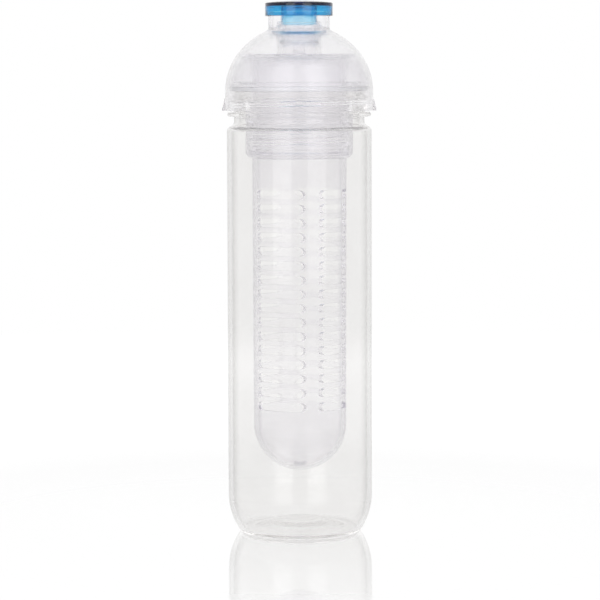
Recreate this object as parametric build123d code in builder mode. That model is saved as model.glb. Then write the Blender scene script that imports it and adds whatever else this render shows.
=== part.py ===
from build123d import *
from math import acos, asin, cos, degrees, radians, sin, sqrt
import os

os.makedirs("parts", exist_ok=True)

# Fruit infuser water bottle. Millimetres, +Z up, origin on the table under the bottle's axis.
# -Y is the front. Every angle round the axis is in degrees from +X.

# Clearances shared by several pieces
gap = 0.3                   # between pieces that move past each other
thread_gap = 0.5            # between the lid's skirt and the tips of the neck's thread
overrun = 1.0               # how far a cut runs past the face that it opens
sink = 0.4                  # how deep a thread ridge is rooted in its wall

# Bottle body
body_radius = 32.5
body_wall = 2.0
heel_radius = 30.0          # long curve from the wall to the base
heel_height = 17.0
corner_radius = 3.0         # small curve where the heel meets the table
punt_ring_width = 6.1       # of the ring that the bottle stands on
punt_slope_width = 7.3      # from that ring to the flat middle of the hollow base
punt_height = 3.0
punt_dish_radius = 13.0
shoulder_height = 180.6
shoulder_round = 2.6
neck_root_round = 2.3
neck_step = 3.2             # how far the neck stands inside the body's wall
neck_wall = 2.2
neck_length = 13.3
rim_round = 0.5
support_ring_reach = 2.9    # out from the neck
support_ring_rise = 2.0     # above the foot of the neck
support_ring_thickness = 1.9
support_ring_round = 0.5

# Screw thread between bottle and lid
neck_pitch = 4.0
neck_thread_turns = 1.25
neck_thread_depth = 1.6
neck_thread_root_width = 1.9
neck_thread_tip_width = 0.9
neck_thread_lead = 2.8      # from the support ring to the middle of the ridge where it starts
lid_thread_turns = 1.0
lid_thread_start = 180.0    # half a turn from where the neck's ridge starts, in degrees

# Seal ring between the rim and the lid
neck_seal_inset = 0.2       # inside the neck's bore
neck_seal_thickness = 2.0
neck_seal_round = 0.4

# Domed lid
dome_rise = 29.6            # from the dome's widest level to where its apex would be
dome_wall = 1.8
dome_lift = 0.4             # of the dome's widest level above the rim
skirt_wall = 1.9
skirt_flare = 0.2           # how much wider the skirt's lower edge is than the dome
skirt_gap = 0.7             # between the skirt and the support ring
skirt_round = 0.35

# Grip lugs round the skirt
lug_count = 8
lug_width = 6.8
lug_height = 6.6
lug_reach = 1.4             # past the skirt, at the lower edge
lug_root = 1.0              # how deep a lug is rooted in the skirt
lug_round = 0.35

# Spout on top of the dome
collar_radius = 13.7
collar_wall = 1.4
collar_height = 8.2         # above the dome
collar_round = 0.3
cone_drop = 3.7             # how far the spout's floor falls from the guide tube to the collar
guide_recess = 5.1          # of the guide tube's mouth below the collar's top
guide_wall = 0.9
guide_channel = 2.4         # between the collar and the guide tube
guide_lip_thickness = 1.2
guide_lip_wall = 1.6        # its narrowed mouth, which holds the stem in
guide_seat_thickness = 3.6  # its narrowed foot, which the stem lands on
guide_seat_wall = 2.2

# Insert under the dome
liner_height = 12.1         # from its flange to the top of its plate
plate_thickness = 2.0
liner_wall = 1.5
flange_thickness = 2.0
spigot_wall = 2.0
pin_radius = 2.4
pin_recess = 0.7            # of the pin's end below the top of the closed cap
pin_root_radius = 3.2
pin_root_height = 5.0
pin_round = 0.6
flow_hole_count = 6
flow_hole_radius = 1.1
flow_hole_ring_radius = 4.9

# Screw thread between spigot and infuser collar
nut_pitch = 4.5
nut_thread_depth = 1.1
nut_thread_root_width = 2.0
nut_thread_tip_width = 1.0
nut_thread_turns = 2.0
spigot_thread_turns = 2.5
spigot_thread_lead = 2.6    # from the spigot's end to the middle of its first ridge
nut_thread_start = 180.0    # half a turn from where the spigot's ridge starts, in degrees

# Push-pull cap
cap_wall = 1.1
cap_overlap = 2.1           # of its skirt over the spout collar when closed
cap_stand_off = 2.4         # of its crown above the collar when closed
crown_edge_thickness = 1.4
crown_thickness = 2.5
cap_round = 0.45
sleeve_wall = 0.6
sleeve_depth = 1.8          # of its sleeve in the guide tube's mouth when closed
outlet_clearance = 0.2      # round the pin in the cap's outlet

# Valve stem, pressed into the cap's sleeve
stem_wall = 0.75
press_gap = 0.05            # between the stem and the sleeve

# O-ring on the stem
ring_thickness = 1.3
ring_clearance = 0.1        # to the guide tube's bore
groove_lip_thickness = 1.1

# Infuser collar, a ring nut
nut_inset = 3.0             # inside the neck's bore
nut_wall = 1.4
nut_height = 23.5
nut_depth = 6.5             # of its top below the rim
nut_lip_thickness = 1.6
nut_chamfer = 1.8
nut_top_round = 0.5

# Infuser tube
tube_length = 142.7         # below its flange
tube_wall = 1.8
tube_taper = 0.35           # how much narrower it is at its foot
tube_flange_reach = 1.25
tube_flange_thickness = 1.8
gate_pad_radius = 2.9
gate_pad_height = 2.0
slot_columns = 4
slot_pitch = 6.3
slot_height = 4.0
slot_rise = 9.8             # of the lowest row above the round end's centre
slot_top_margin = 17.6      # from the highest row to the flange
slot_angle = 66.0           # how much of the wall a slot takes, in degrees
slot_turn = -119.0          # middle of the first column, in degrees

# Radii that follow, from the bottle inwards
body_bore = body_radius - body_wall
neck_radius = body_radius - neck_step
neck_bore = neck_radius - neck_wall
support_ring_radius = neck_radius + support_ring_reach
skirt_bore = neck_radius + neck_thread_depth + thread_gap
skirt_radius = skirt_bore + skirt_wall
dome_radius = skirt_radius - skirt_flare
neck_seal_inner_radius = neck_bore + neck_seal_inset
neck_seal_outer_radius = skirt_bore - thread_gap
nut_radius = neck_bore - nut_inset
nut_bore_radius = nut_radius - nut_wall
spigot_radius = nut_bore_radius - nut_thread_depth - gap
spigot_bore = spigot_radius - spigot_wall
tube_flange_radius = nut_bore_radius - gap
tube_top_radius = tube_flange_radius - tube_flange_reach
tube_foot_radius = tube_top_radius - tube_taper

# Radii of the spout, from the cap inwards
cap_bore = collar_radius + gap
cap_radius = cap_bore + cap_wall
guide_radius = collar_radius - collar_wall - guide_channel
guide_bore_radius = guide_radius - guide_wall
guide_lip_radius = guide_radius - guide_lip_wall
guide_seat_radius = guide_radius - guide_seat_wall
stem_radius = guide_lip_radius - gap
sleeve_bore_radius = stem_radius - sleeve_wall
plug_radius = sleeve_bore_radius - press_gap
stem_bore_radius = plug_radius - stem_wall
bead_radius = guide_bore_radius - gap
ring_outer_radius = guide_bore_radius - ring_clearance
groove_radius = ring_outer_radius - ring_thickness - ring_clearance


def between(centre, radius, angle):
    # Point on a circle, with its angle in degrees.
    return (centre[0] + radius * cos(radians(angle)), centre[1] + radius * sin(radians(angle)))


def dome_height_at(radius, inset):
    # Height of the dome's surface, moved inwards by the inset, at a distance from the axis.
    share = radius / (dome_radius - inset)
    return dome_level + (dome_rise - inset) * sqrt(1 - share**2)


def dome_radius_at(height, inset):
    share = (height - dome_level) / (dome_rise - inset)
    return (dome_radius - inset) * sqrt(1 - share**2)


def thread_ridge(root, depth, root_width, tip_width, pitch, turns, start_height, start_angle):
    # Helical ridge on a wall. A negative depth points it at the axis.
    inward = -sink if depth > 0 else sink
    slope = (root_width - tip_width) / 2 / abs(depth)
    with BuildPart() as ridge:
        with BuildLine() as path:
            Helix(pitch=pitch, height=pitch * turns, radius=root, center=(0, 0, start_height))
        start = Plane(origin=path.line @ 0, x_dir=(1, 0, 0), z_dir=path.line % 0)
        with BuildSketch(start) as section:
            with BuildLine():
                Polyline(
                    (inward, -root_width / 2 - sink * slope),
                    (depth, -tip_width / 2),
                    (depth, tip_width / 2),
                    (inward, root_width / 2 + sink * slope),
                    close=True,
                )
            make_face()
        sweep(path=path.line, is_frenet=True)
    return ridge.part.rotate(Axis.Z, start_angle)


# The curves of the heel and the shoulder, whose arcs meet in line
heel_angle = degrees(asin((heel_height - corner_radius) / (heel_radius - corner_radius)))
heel_centre = (body_radius - heel_radius, heel_height)
corner_centre = between(heel_centre, heel_radius - corner_radius, -heel_angle)
heel_end = between(heel_centre, heel_radius, -heel_angle)
heel_end_inner = between(heel_centre, heel_radius - body_wall, -heel_angle)
punt_ring_radius = corner_centre[0] - punt_ring_width
punt_flat_radius = punt_ring_radius - punt_slope_width
shoulder_rounds = shoulder_round + neck_root_round
shoulder_angle = degrees(acos(1 - (body_radius - neck_radius) / shoulder_rounds))
shoulder_angle_inner = degrees(acos(1 - (body_bore - neck_bore) / shoulder_rounds))
shoulder_centre = (body_radius - shoulder_round, shoulder_height)

# Heights that follow, from the shoulder up
neck_bottom = shoulder_height + shoulder_rounds * sin(radians(shoulder_angle))
neck_bottom_inner = shoulder_height + shoulder_rounds * sin(radians(shoulder_angle_inner))
support_ring_bottom = neck_bottom + support_ring_rise
support_ring_top = support_ring_bottom + support_ring_thickness
neck_thread_bottom = support_ring_top + neck_thread_lead
rim_height = neck_bottom + neck_length
neck_seal_top = rim_height + neck_seal_thickness
skirt_bottom = support_ring_top + skirt_gap
dome_level = rim_height + dome_lift
flange_top = neck_seal_top + flange_thickness
plate_top = flange_top + liner_height
plate_bottom = plate_top - plate_thickness
collar_bottom = dome_height_at(collar_radius, 0)
collar_top = collar_bottom + collar_height
guide_top = collar_top - guide_recess
cone_top = guide_top - guide_lip_thickness
cone_foot = cone_top - cone_drop
guide_seat_top = plate_top + guide_seat_thickness
stem_bottom = guide_seat_top + gap
ring_bottom = stem_bottom + groove_lip_thickness
ring_top = ring_bottom + ring_thickness
stem_bead_top = ring_top + groove_lip_thickness
sleeve_bottom = guide_top - sleeve_depth
cap_bottom = collar_top - cap_overlap
cap_underside = collar_top + cap_stand_off
cap_edge = cap_underside + crown_edge_thickness
cap_top = cap_underside + crown_thickness
pin_top = cap_top - pin_recess

# Heights of the infuser, from the rim down
nut_top = rim_height - nut_depth
nut_bottom = nut_top - nut_height
tube_flange_bottom = nut_bottom + nut_lip_thickness + gap
tube_flange_top = tube_flange_bottom + tube_flange_thickness
spigot_bottom = tube_flange_top + gap
tube_end = tube_flange_bottom - tube_length
tube_foot_height = tube_end + tube_foot_radius
slot_first_height = tube_foot_height + slot_rise
slot_span = tube_flange_bottom - slot_top_margin - slot_first_height
slot_rows = 1 + round(slot_span / slot_pitch)

# Bottle body
with BuildPart() as bottle_body:
    with BuildSketch(Plane.XZ) as body_section:
        with BuildLine():
            Line((0, punt_height), (punt_flat_radius, punt_height))
            RadiusArc((punt_flat_radius, punt_height), (punt_ring_radius, 0), punt_dish_radius)
            Line((punt_ring_radius, 0), (corner_centre[0], 0))
            TangentArc((corner_centre[0], 0), heel_end, tangent=(1, 0))
            TangentArc((body_radius, heel_height), heel_end, tangent=(0, -1))
            Line((body_radius, heel_height), (body_radius, shoulder_height))
            outer_bend = between(shoulder_centre, shoulder_round, shoulder_angle)
            TangentArc((body_radius, shoulder_height), outer_bend, tangent=(0, 1))
            TangentArc((neck_radius, neck_bottom), outer_bend, tangent=(0, -1))
            Line((neck_radius, neck_bottom), (neck_radius, rim_height))
            Line((neck_radius, rim_height), (neck_bore, rim_height))
            Line((neck_bore, rim_height), (neck_bore, neck_bottom_inner))
            inner_bend = between(shoulder_centre, shoulder_round - body_wall, shoulder_angle_inner)
            TangentArc((neck_bore, neck_bottom_inner), inner_bend, tangent=(0, -1))
            TangentArc((body_bore, shoulder_height), inner_bend, tangent=(0, 1))
            Line((body_bore, shoulder_height), (body_bore, heel_height))
            TangentArc((body_bore, heel_height), heel_end_inner, tangent=(0, -1))
            TangentArc((corner_centre[0], body_wall), heel_end_inner, tangent=(1, 0))
            Line((corner_centre[0], body_wall), (punt_ring_radius, body_wall))
            punt_top = punt_height + body_wall
            RadiusArc((punt_flat_radius, punt_top), (punt_ring_radius, body_wall), punt_dish_radius)
            Line((punt_flat_radius, punt_top), (0, punt_top))
            Line((0, punt_top), (0, punt_height))
        make_face()
    revolve(axis=Axis.Z)
    rim_edges = bottle_body.edges().filter_by_position(Axis.Z, rim_height, rim_height)
    fillet(rim_edges, rim_round)
    with BuildSketch(Plane.XY.offset(support_ring_bottom)) as support_ring:
        Circle(support_ring_radius)
        Circle(neck_radius - sink, mode=Mode.SUBTRACT)
    extrude(amount=support_ring_thickness)
    ring_edges = bottle_body.edges().filter_by(GeomType.CIRCLE)
    ring_edges = ring_edges.filter_by(lambda edge: abs(edge.radius - support_ring_radius) < sink)
    fillet(ring_edges, support_ring_round)
    add(
        thread_ridge(
            neck_radius,
            neck_thread_depth,
            neck_thread_root_width,
            neck_thread_tip_width,
            neck_pitch,
            neck_thread_turns,
            neck_thread_bottom,
            0,
        )
    )
bottle_body.part.label = "bottle_body"
export_step(bottle_body.part, "parts/bottle_body.step")

# Seal ring that sits on the rim
with BuildPart() as neck_seal:
    with BuildSketch(Plane.XY.offset(rim_height)) as seal_section:
        Circle(neck_seal_outer_radius)
        Circle(neck_seal_inner_radius, mode=Mode.SUBTRACT)
    extrude(amount=neck_seal_thickness)
    fillet(neck_seal.edges().filter_by(GeomType.CIRCLE), neck_seal_round)
neck_seal.part.label = "neck_seal"
export_step(neck_seal.part, "parts/neck_seal.step")

# One grip lug, on the +X side: a three-sided flare that grows towards the skirt's lower edge
with BuildPart() as grip_lug:
    skirt_slope = (skirt_radius - dome_radius) / (dome_level - skirt_bottom)
    lug_top = skirt_bottom + lug_height
    with BuildSketch(Plane.XZ) as lug_side:
        with BuildLine():
            Polyline(
                (skirt_radius - lug_root, skirt_bottom),
                (skirt_radius + lug_reach, skirt_bottom),
                (skirt_radius - skirt_slope * lug_height, lug_top),
                (skirt_radius - lug_root, lug_top),
                close=True,
            )
        make_face()
    extrude(amount=lug_width, both=True)
    with BuildSketch(Plane.YZ) as lug_front:
        with BuildLine():
            Polyline(
                (-lug_width / 2, skirt_bottom),
                (lug_width / 2, skirt_bottom),
                (0, lug_top),
                close=True,
            )
        make_face()
    extrude(amount=skirt_radius + lug_reach + overrun, mode=Mode.INTERSECT)
    fillet(grip_lug.faces().sort_by(Axis.X)[-1].edges(), lug_round)

# Domed lid with its skirt, grip lugs, thread, spout collar and guide tube
with BuildPart() as lid_dome:
    with BuildSketch(Plane.XZ) as dome_section:
        with BuildLine():
            Line((collar_radius, collar_top), (collar_radius, collar_bottom))
            start = degrees(acos(collar_radius / dome_radius))
            EllipticalCenterArc((0, dome_level), dome_radius, dome_rise, start_angle=0, arc_size=start)
            Polyline(
                (dome_radius, dome_level),
                (skirt_radius, skirt_bottom),
                (skirt_bore, skirt_bottom),
                (skirt_bore, dome_level),
                (dome_radius - dome_wall, dome_level),
            )
            inner_rise = dome_rise - dome_wall
            inner_radius = dome_radius - dome_wall
            start = degrees(acos(collar_radius / inner_radius))
            EllipticalCenterArc((0, dome_level), inner_radius, inner_rise, start_angle=0, arc_size=start)
            Polyline(
                (collar_radius, dome_height_at(collar_radius, dome_wall)),
                (collar_radius - collar_wall, cone_foot - dome_wall),
                (guide_radius, cone_top - dome_wall),
                (guide_radius, plate_top),
                (guide_seat_radius, plate_top),
                (guide_seat_radius, guide_seat_top),
                (guide_bore_radius, guide_seat_top),
                (guide_bore_radius, cone_top),
                (guide_lip_radius, cone_top),
                (guide_lip_radius, guide_top),
                (guide_radius, guide_top),
                (guide_radius, cone_top),
                (collar_radius - collar_wall, cone_foot),
                (collar_radius - collar_wall, collar_top),
                (collar_radius, collar_top),
            )
        make_face()
    revolve(axis=Axis.Z)
    top_edges = lid_dome.edges().filter_by_position(Axis.Z, collar_top, collar_top)
    fillet(top_edges, collar_round)
    skirt_edges = lid_dome.edges().filter_by_position(Axis.Z, skirt_bottom, skirt_bottom)
    fillet(skirt_edges, skirt_round)
    add(
        thread_ridge(
            skirt_bore,
            -neck_thread_depth,
            neck_thread_root_width,
            neck_thread_tip_width,
            neck_pitch,
            lid_thread_turns,
            neck_thread_bottom,
            lid_thread_start,
        )
    )
    with PolarLocations(0, lug_count):
        add(grip_lug.part)
lid_dome.part.label = "lid_dome"
export_step(lid_dome.part, "parts/lid_dome.step")

# Insert: plate and liner under the dome, outlet pin on top, threaded spigot below
with BuildPart() as lid_insert:
    liner_inset = dome_wall + gap
    inner_inset = liner_inset + liner_wall
    with BuildSketch(Plane.XZ) as insert_section:
        with BuildLine():
            liner_radius = dome_radius - liner_inset
            liner_rise = dome_rise - liner_inset
            low = degrees(asin((neck_seal_top - dome_level) / liner_rise))
            high = degrees(asin((plate_top - dome_level) / liner_rise))
            EllipticalCenterArc(
                (0, dome_level), liner_radius, liner_rise, start_angle=low, arc_size=high - low
            )
            liner_radius = dome_radius - inner_inset
            liner_rise = dome_rise - inner_inset
            low = degrees(asin((flange_top - dome_level) / liner_rise))
            high = degrees(asin((plate_bottom - dome_level) / liner_rise))
            EllipticalCenterArc(
                (0, dome_level), liner_radius, liner_rise, start_angle=low, arc_size=high - low
            )
            Polyline(
                (dome_radius_at(neck_seal_top, liner_inset), neck_seal_top),
                (neck_seal_inner_radius, neck_seal_top),
                (neck_seal_inner_radius, flange_top),
                (dome_radius_at(flange_top, inner_inset), flange_top),
            )
            Polyline(
                (dome_radius_at(plate_bottom, inner_inset), plate_bottom),
                (spigot_radius, plate_bottom),
                (spigot_radius, spigot_bottom),
                (spigot_bore, spigot_bottom),
                (spigot_bore, plate_bottom),
                (0, plate_bottom),
                (0, pin_top),
                (pin_radius, pin_top),
                (pin_radius, plate_top + pin_root_height),
                (pin_root_radius, plate_top),
                (dome_radius_at(plate_top, liner_inset), plate_top),
            )
        make_face()
    revolve(axis=Axis.Z)
    fillet(lid_insert.edges().filter_by_position(Axis.Z, pin_top, pin_top), pin_round)
    with BuildSketch(Plane.XY.offset(plate_bottom - overrun)) as flow_holes:
        with PolarLocations(flow_hole_ring_radius, flow_hole_count):
            Circle(flow_hole_radius)
    extrude(amount=plate_thickness + 2 * overrun, mode=Mode.SUBTRACT)
    add(
        thread_ridge(
            spigot_radius,
            nut_thread_depth,
            nut_thread_root_width,
            nut_thread_tip_width,
            nut_pitch,
            spigot_thread_turns,
            spigot_bottom + spigot_thread_lead,
            0,
        )
    )
lid_insert.part.label = "lid_insert"
export_step(lid_insert.part, "parts/lid_insert.step")

# Push-pull cap: crown, skirt over the spout collar, and a sleeve that takes the stem
with BuildPart() as pull_cap:
    with BuildSketch(Plane.XZ) as cap_section:
        with BuildLine():
            Line((0, cap_underside), (0, cap_top))
            TangentArc((0, cap_top), (cap_radius, cap_edge), tangent=(1, 0))
            Polyline(
                (cap_radius, cap_edge),
                (cap_radius, cap_bottom),
                (cap_bore, cap_bottom),
                (cap_bore, cap_underside),
                (stem_radius, cap_underside),
                (stem_radius, sleeve_bottom),
                (sleeve_bore_radius, sleeve_bottom),
                (sleeve_bore_radius, cap_underside),
                (0, cap_underside),
            )
        make_face()
        fillet(cap_section.vertices().group_by(Axis.X)[-1], cap_round)
    revolve(axis=Axis.Z)
    with BuildSketch(Plane.XY.offset(cap_underside - overrun)) as outlet:
        Circle(pin_radius + outlet_clearance)
    extrude(amount=cap_top - cap_underside + 2 * overrun, mode=Mode.SUBTRACT)
pull_cap.part.label = "pull_cap"
export_step(pull_cap.part, "parts/pull_cap.step")

# Valve stem: a plug for the cap's sleeve, and two lips round an O-ring
with BuildPart() as valve_stem:
    with BuildSketch(Plane.XZ) as stem_section:
        with BuildLine():
            Polyline(
                (stem_bore_radius, stem_bottom),
                (bead_radius, stem_bottom),
                (bead_radius, ring_bottom),
                (groove_radius, ring_bottom),
                (groove_radius, ring_top),
                (bead_radius, ring_top),
                (bead_radius, stem_bead_top),
                (stem_radius, stem_bead_top),
                (stem_radius, sleeve_bottom),
                (plug_radius, sleeve_bottom),
                (plug_radius, cap_underside),
                (stem_bore_radius, cap_underside),
                close=True,
            )
        make_face()
    revolve(axis=Axis.Z)
valve_stem.part.label = "valve_stem"
export_step(valve_stem.part, "parts/valve_stem.step")

# O-ring in the stem's groove
with BuildPart() as stem_seal:
    with BuildSketch(Plane.XZ) as ring_section:
        with Locations((ring_outer_radius - ring_thickness / 2, ring_bottom + ring_thickness / 2)):
            Circle(ring_thickness / 2)
    revolve(axis=Axis.Z)
stem_seal.part.label = "stem_seal"
export_step(stem_seal.part, "parts/stem_seal.step")

# Ring nut that holds the infuser under the insert
with BuildPart() as infuser_collar:
    tube_passage = tube_top_radius + gap
    with BuildSketch(Plane.XZ) as nut_section:
        with BuildLine():
            Polyline(
                (tube_passage, nut_bottom),
                (nut_radius - nut_chamfer, nut_bottom),
                (nut_radius, nut_bottom + nut_chamfer),
                (nut_radius, nut_top),
                (nut_bore_radius, nut_top),
                (nut_bore_radius, nut_bottom + nut_lip_thickness),
                (tube_passage, nut_bottom + nut_lip_thickness),
                close=True,
            )
        make_face()
    revolve(axis=Axis.Z)
    fillet(infuser_collar.edges().filter_by_position(Axis.Z, nut_top, nut_top), nut_top_round)
    add(
        thread_ridge(
            nut_bore_radius,
            -nut_thread_depth,
            nut_thread_root_width,
            nut_thread_tip_width,
            nut_pitch,
            nut_thread_turns,
            spigot_bottom + spigot_thread_lead,
            nut_thread_start,
        )
    )
infuser_collar.part.label = "infuser_collar"
export_step(infuser_collar.part, "parts/infuser_collar.step")

# Slotted infuser tube with a flange on top and a round end
with BuildPart() as infuser_tube:
    with BuildSketch(Plane.XZ) as tube_section:
        with BuildLine():
            TangentArc((tube_foot_radius, tube_foot_height), (0, tube_end), tangent=(0, -1))
            inner_foot = tube_foot_radius - tube_wall
            TangentArc((inner_foot, tube_foot_height), (0, tube_end + tube_wall), tangent=(0, -1))
            Line((0, tube_end), (0, tube_end + tube_wall))
            Polyline(
                (tube_foot_radius, tube_foot_height),
                (tube_top_radius, tube_flange_bottom),
                (tube_flange_radius, tube_flange_bottom),
                (tube_flange_radius, tube_flange_top),
                (tube_top_radius - tube_wall, tube_flange_top),
                (inner_foot, tube_foot_height),
            )
        make_face()
    revolve(axis=Axis.Z)
    with BuildSketch(Plane.XY.offset(tube_end + tube_wall / 2)) as gate_pad:
        Circle(gate_pad_radius)
    extrude(amount=tube_wall / 2 + gate_pad_height)
    slot_chord = 2 * tube_top_radius * sin(radians(slot_angle / 2))
    slot_middle = slot_first_height + slot_pitch * (slot_rows - 1) / 2
    for column in range(slot_columns):
        turn = slot_turn + 360 / slot_columns * column
        across = (-sin(radians(turn)), cos(radians(turn)), 0)
        outwards = (cos(radians(turn)), sin(radians(turn)), 0)
        wall_plane = Plane(origin=(0, 0, slot_middle), x_dir=across, z_dir=outwards)
        with BuildSketch(wall_plane) as column_slots:
            with GridLocations(0, slot_pitch, 1, slot_rows):
                SlotOverall(slot_chord, slot_height)
        extrude(amount=tube_top_radius + overrun, mode=Mode.SUBTRACT)
infuser_tube.part.label = "infuser_tube"
export_step(infuser_tube.part, "parts/infuser_tube.step")
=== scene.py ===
import math

import bmesh
import bpy
from mathutils import Matrix, Vector


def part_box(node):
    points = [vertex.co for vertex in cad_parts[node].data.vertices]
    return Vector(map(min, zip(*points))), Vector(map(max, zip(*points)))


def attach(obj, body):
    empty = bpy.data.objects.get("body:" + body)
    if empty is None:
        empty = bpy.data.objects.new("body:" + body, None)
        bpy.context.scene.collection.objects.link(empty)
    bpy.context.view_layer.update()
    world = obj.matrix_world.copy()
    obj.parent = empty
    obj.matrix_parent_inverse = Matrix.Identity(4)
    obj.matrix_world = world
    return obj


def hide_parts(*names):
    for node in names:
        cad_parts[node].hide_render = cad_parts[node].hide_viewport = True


# Fruit infuser water bottle. Every outline below is drawn in millimetres as (radius, height)
# and turned about the bottle's axis.
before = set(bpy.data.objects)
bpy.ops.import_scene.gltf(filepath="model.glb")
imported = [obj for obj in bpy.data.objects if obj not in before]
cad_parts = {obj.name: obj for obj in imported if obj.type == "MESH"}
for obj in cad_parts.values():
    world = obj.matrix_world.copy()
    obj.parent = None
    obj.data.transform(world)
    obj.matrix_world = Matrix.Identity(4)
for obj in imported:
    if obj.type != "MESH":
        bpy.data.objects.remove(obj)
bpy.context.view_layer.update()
mm = 0.001
turnSteps = 144    # sides of a turned piece
threadSteps = 96   # steps of a thread in one turn
ringSteps = 24     # sides of small holes and of the O-ring's section
roundSteps = 5     # steps of a rounded corner in an outline
arcStep = 5.0      # degrees between the points of a drawn arc
sharpAngle = 32.0  # edges that turn more than this many degrees stay crisp
flatAngle = 1.0    # faces that turn less than this many degrees are one face
mergeGap = 0.002   # points closer than this are one


def at(radius, height):
    return Vector((radius * mm, 0, height * mm))


def nodeTop(name):
    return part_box(name)[1].z / mm


def nodeBottom(name):
    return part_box(name)[0].z / mm


def nodeRadius(name):
    low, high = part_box(name)
    return (high.x - low.x) / 2 / mm


# A pen that draws a section in the XZ plane
class Pen:
    def __init__(self, radius, height):
        self.bm = bmesh.new()
        self.first = self.last = self.bm.verts.new(at(radius, height))

    def line(self, *points):
        for radius, height in points:
            new = self.bm.verts.new(at(radius, height))
            self.bm.edges.new((self.last, new))
            self.last = new
        return self

    def arc(self, centre, angle):
        steps = max(2, math.ceil(abs(angle) / arcStep))
        made = bmesh.ops.spin(
            self.bm, geom=[self.last], cent=at(*centre), axis=(0, -1, 0),
            angle=math.radians(angle), steps=steps,
        )
        self.last = made["geom_last"][0]
        return self

    def oval(self, centre, reach, rise, angle, towards):
        # a circle's arc, flattened; it starts at this angle and ends at the other
        start = math.radians(angle)
        old = set(self.bm.verts)
        self.line((centre[0] + reach * math.cos(start), centre[1] + reach * math.sin(start)))
        self.arc(centre, towards - angle)
        drawn = [v for v in self.bm.verts if v not in old]
        shift = Matrix.Translation(-at(*centre))
        bmesh.ops.scale(self.bm, vec=(1, 1, rise / reach), space=shift, verts=drawn)
        return self

    def close(self):
        self.bm.edges.new((self.last, self.first))
        return self

    def round(self, *corners):
        # each corner is (radius, height, size of the round); the outline is a face while they are cut
        face = bmesh.ops.contextual_create(self.bm, geom=self.bm.edges[:])["faces"][0]
        for radius, height, size in corners:
            spot = at(radius, height)
            vert = min(self.bm.verts, key=lambda v: (v.co - spot).length)
            bmesh.ops.bevel(
                self.bm, geom=[vert], affect="VERTICES", offset=size * mm,
                segments=roundSteps, profile=0.5, material=-1,
            )
        bmesh.ops.delete(self.bm, geom=self.bm.faces[:], context="FACES_ONLY")
        return self

    def turn(self, name):
        return turnedMesh(self.bm, name)


def turnedMesh(bm, name):
    # turns what is drawn once round the axis
    bmesh.ops.spin(
        bm, geom=bm.verts[:] + bm.edges[:], cent=(0, 0, 0), axis=(0, 0, 1),
        angle=math.tau, steps=turnSteps, use_merge=True,
    )
    return finishMesh(bm, name)


def finishMesh(bm, name):
    bmesh.ops.remove_doubles(bm, verts=bm.verts, dist=mergeGap * mm)
    bmesh.ops.recalc_face_normals(bm, faces=bm.faces)
    mesh = bpy.data.meshes.new(name)
    bm.to_mesh(mesh)
    bm.free()
    piece = bpy.data.objects.new(name, mesh)
    bpy.context.collection.objects.link(piece)
    shade(piece)
    return piece


def shade(piece):
    bm = bmesh.new()
    bm.from_mesh(piece.data)
    for face in bm.faces:
        face.smooth = True
    for edge in bm.edges:
        edge.smooth = edge.calc_face_angle(0) < math.radians(sharpAngle)
    bm.to_mesh(piece.data)
    bm.free()


def combine(piece, tool, operation):
    # joins or cuts with an exact Boolean, whose result replaces the mesh
    modifier = piece.modifiers.new("cut", "BOOLEAN")
    modifier.operation = operation
    modifier.solver = "EXACT"
    modifier.object = tool
    bpy.context.view_layer.update()
    graph = bpy.context.evaluated_depsgraph_get()
    mesh = bpy.data.meshes.new_from_object(piece.evaluated_get(graph))
    piece.modifiers.clear()
    old = piece.data
    piece.data = mesh
    mesh.name = piece.name
    bpy.data.meshes.remove(old)
    bpy.data.objects.remove(tool)
    shade(piece)


def turnAbout(bm, verts, angle):
    bmesh.ops.rotate(bm, verts=verts, cent=(0, 0, 0), matrix=Matrix.Rotation(angle, 3, "Z"))


def copyOf(bm, geom):
    # copies this part of the mesh and gives the new points
    return [v for v in bmesh.ops.duplicate(bm, geom=geom)["geom"] if isinstance(v, bmesh.types.BMVert)]


threadFlare = 0.1  # how much wider a thread's foot is, on each side
threadRoundSteps = 3


def threadRidge(name, shape):
    # a four-cornered section, wider where it is sunk in the wall, screwed up about the axis
    bm = bmesh.new()
    root, tip = shape["root"], shape["root"] + shape["depth"]
    sink = -shape["sink"] if shape["depth"] > 0 else shape["sink"]
    corners = (
        (root + sink, -shape["rootWidth"] / 2 - threadFlare),
        (tip, -shape["tipWidth"] / 2),
        (tip, shape["tipWidth"] / 2),
        (root + sink, shape["rootWidth"] / 2 + threadFlare),
    )
    verts = [bm.verts.new(at(r, shape["start"] + z)) for r, z in corners]
    bm.faces.new(verts)
    bmesh.ops.bevel(
        bm, geom=verts[1:3], affect="VERTICES", offset=shape["round"] * mm,
        segments=threadRoundSteps, profile=0.5, material=-1,
    )
    face = bm.faces[:][0]
    bmesh.ops.spin(
        bm, geom=[face, *face.edges, *face.verts], cent=(0, 0, 0), axis=(0, 0, 1),
        dvec=(0, 0, shape["pitch"] * mm / threadSteps), angle=math.tau * shape["turns"],
        steps=round(threadSteps * shape["turns"]),
    )
    turnAbout(bm, bm.verts, math.radians(shape["turned"]))
    return finishMesh(bm, name)


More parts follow.
